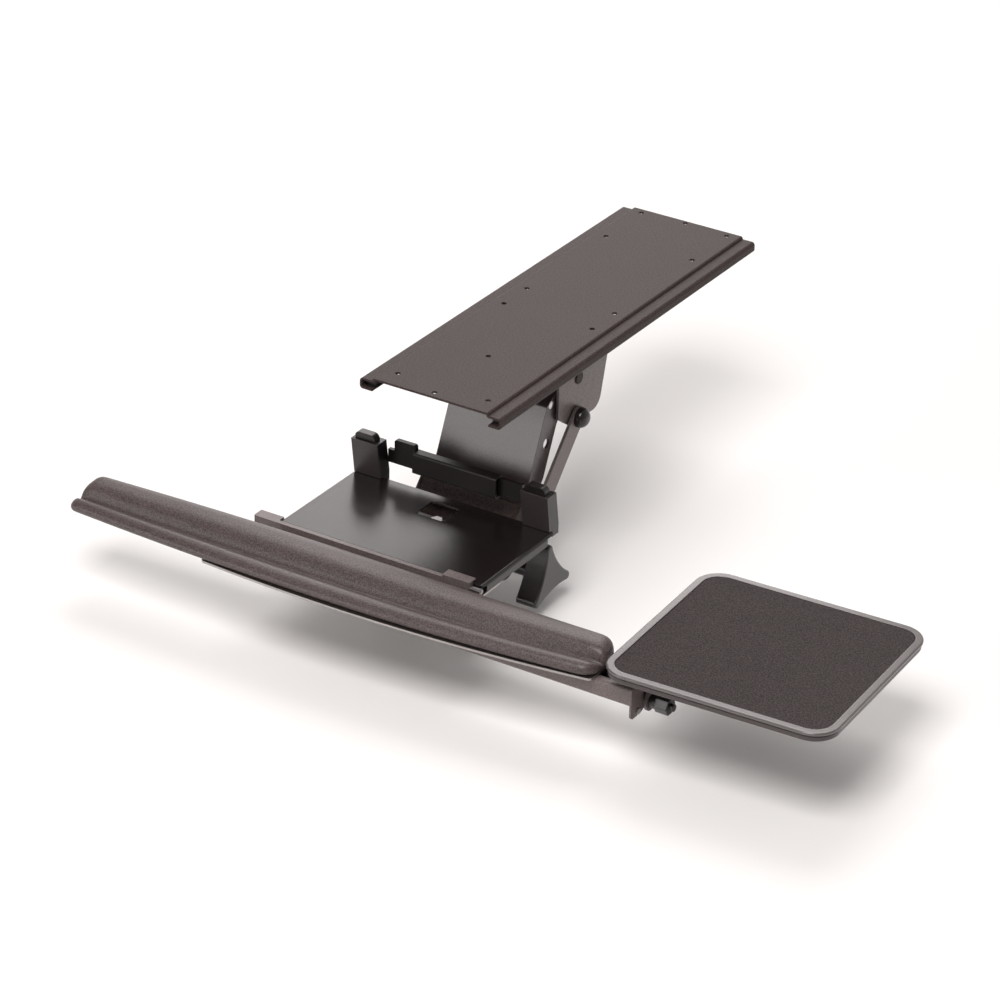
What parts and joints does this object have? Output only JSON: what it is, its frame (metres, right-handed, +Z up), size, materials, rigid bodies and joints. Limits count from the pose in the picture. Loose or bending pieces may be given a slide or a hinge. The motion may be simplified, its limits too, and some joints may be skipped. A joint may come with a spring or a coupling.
{
  "type": "under-desk keyboard tray",
  "caption": "Under-desk keyboard tray: sliding track, swivelling lift arm, tilting platform with padded palm rest, and a sliding round-cornered mouse tray at its right.",
  "frame": {"origin": "centre of the track's top face, which lies against the underside of the desk", "axes": "+Z up towards the desk, +X to the user's right, along the palm rest and mouse tray, +Y from the user towards the wall, along the track"},
  "size_m": [0.7489, 0.617, 0.193],
  "materials": {
    "steel_powder_coat": "satin fine texture",
    "fastener_steel": "bright",
    "black_plastic": "satin moulded",
    "nylon": "smooth",
    "leatherette": "fine grain",
    "pad_cloth": "fine weave",
    "rim_plastic": "satin",
    "rubber_face": "smooth"
  },
  "bodies": {
    "track": {"track_rail": "steel_powder_coat", "track_stops": "black_plastic"},
    "carriage": {"carriage_plate": "steel_powder_coat", "glide_shoes": "nylon", "swivel_washer": "nylon", "swivel_rivet": "fastener_steel"},
    "bracket": {"swivel_bracket": "steel_powder_coat", "arm_pivot_rod": "fastener_steel", "upper_link_pins": "fastener_steel", "upper_link_spacers": "nylon", "upper_dome_caps": "black_plastic", "upper_arm_washers": "nylon"},
    "arm": {"arm_plate": "steel_powder_coat", "arm_tube": "steel_powder_coat"},
    "right_side_link": {"right_link": "steel_powder_coat"},
    "left_side_link": {"left_link": "steel_powder_coat"},
    "head": {"tilt_head": "steel_powder_coat", "lower_pivot_rod": "fastener_steel", "lower_link_pins": "fastener_steel", "lower_link_spacers": "nylon", "lower_dome_caps": "black_plastic", "lower_arm_washers": "nylon", "tilt_bolt": "fastener_steel", "friction_discs": "nylon"},
    "knob": {"tilt_knob": "black_plastic"},
    "platform": {"platform_plate": "steel_powder_coat", "right_ear": "steel_powder_coat", "left_ear": "steel_powder_coat", "cross_strap": "steel_powder_coat", "strap_bolt": "fastener_steel", "front_rail": "steel_powder_coat", "front_clip": "steel_powder_coat", "clip_pin": "fastener_steel", "palm_base_plate": "steel_powder_coat", "plate_standoffs": "steel_powder_coat", "plate_screws": "fastener_steel", "pad_board": "black_plastic", "palm_rest_pad": "leatherette", "bar_guides": "nylon", "guide_screws": "fastener_steel"},
    "left_stop": {"left_tower": "black_plastic", "left_tower_pad": "rubber_face", "left_stop_arm": "steel_powder_coat", "stop_strip": "steel_powder_coat"},
    "right_stop": {"right_tower": "black_plastic", "right_tower_pad": "rubber_face", "right_stop_arm": "steel_powder_coat"},
    "mouse_slide": {"mouse_bar": "steel_powder_coat", "ear_stop_screw": "fastener_steel", "mouse_tilt_bolt": "fastener_steel", "mouse_spacer": "fastener_steel"},
    "mouse_arm": {"mouse_bracket": "steel_powder_coat", "swivel_post": "steel_powder_coat"},
    "mouse_knob_turn": {"mouse_knob": "black_plastic"},
    "tray": {"mouse_tray_base": "black_plastic", "mouse_tray_rim": "rim_plastic", "mouse_pad": "pad_cloth"}
  },
  "joints": [
    {"name": "carriage_slide", "type": "slide", "parent": "track", "child": "carriage", "axis": [0, 1, 0], "range_m": [-0.1, 0.205]},
    {"name": "bracket_swivel", "type": "hinge", "parent": "carriage", "child": "bracket", "pos_m": [0, -0.0535, -0.0144], "axis": [0, 0, 1], "range_deg": [-80, 80]},
    {"name": "arm_lift", "type": "hinge", "parent": "bracket", "child": "arm", "pos_m": [0, -0.0612, -0.034], "axis": [1, 0, 0], "range_deg": [-25, 25]},
    {"name": "right_link_turn", "type": "hinge", "parent": "bracket", "child": "right_side_link", "pos_m": [0.056, -0.0655, -0.0705], "axis": [1, 0, 0], "range_deg": [-25, 25]},
    {"name": "left_link_turn", "type": "hinge", "parent": "bracket", "child": "left_side_link", "pos_m": [-0.056, -0.0655, -0.0705], "axis": [1, 0, 0], "range_deg": [-25, 25]},
    {"name": "head_level", "type": "hinge", "parent": "arm", "child": "head", "pos_m": [0, -0.14552, -0.12897], "axis": [1, 0, 0], "range_deg": [-25, 25]},
    {"name": "platform_tilt", "type": "hinge", "parent": "head", "child": "platform", "pos_m": [0, -0.17552, -0.17097], "axis": [1, 0, 0], "range_deg": [-10, 15]},
    {"name": "knob_turn", "type": "hinge", "parent": "head", "child": "knob", "pos_m": [0.09, -0.17552, -0.17097], "axis": [1, 0, 0], "continuous": true},
    {"name": "left_stop_slide", "type": "slide", "parent": "platform", "child": "left_stop", "axis": [1, 0, 0], "range_m": [-0.004, 0.015]},
    {"name": "right_stop_slide", "type": "slide", "parent": "platform", "child": "right_stop", "axis": [1, 0, 0], "range_m": [-0.015, 0.005]},
    {"name": "mouse_bar_slide", "type": "slide", "parent": "platform", "child": "mouse_slide", "axis": [1, 0, 0], "range_m": [0, 0.1]},
    {"name": "mouse_tilt", "type": "hinge", "parent": "mouse_slide", "child": "mouse_arm", "pos_m": [0.294, -0.33852, -0.15237], "axis": [1, 0, 0], "range_deg": [-10, 10]},
    {"name": "mouse_knob_spin", "type": "hinge", "parent": "mouse_slide", "child": "mouse_knob_turn", "pos_m": [0.305, -0.33852, -0.15237], "axis": [1, 0, 0], "continuous": true},
    {"name": "mouse_swivel", "type": "hinge", "parent": "mouse_arm", "child": "tray", "pos_m": [0.33, -0.31552, -0.1208], "axis": [0, 0, 1], "range_deg": [0, 20]}
  ],
  "couplings": [
    {"joint": "right_link_turn", "follows": "arm_lift", "ratio": 1},
    {"joint": "left_link_turn", "follows": "arm_lift", "ratio": 1},
    {"joint": "head_level", "follows": "arm_lift", "ratio": -1}
  ]
}
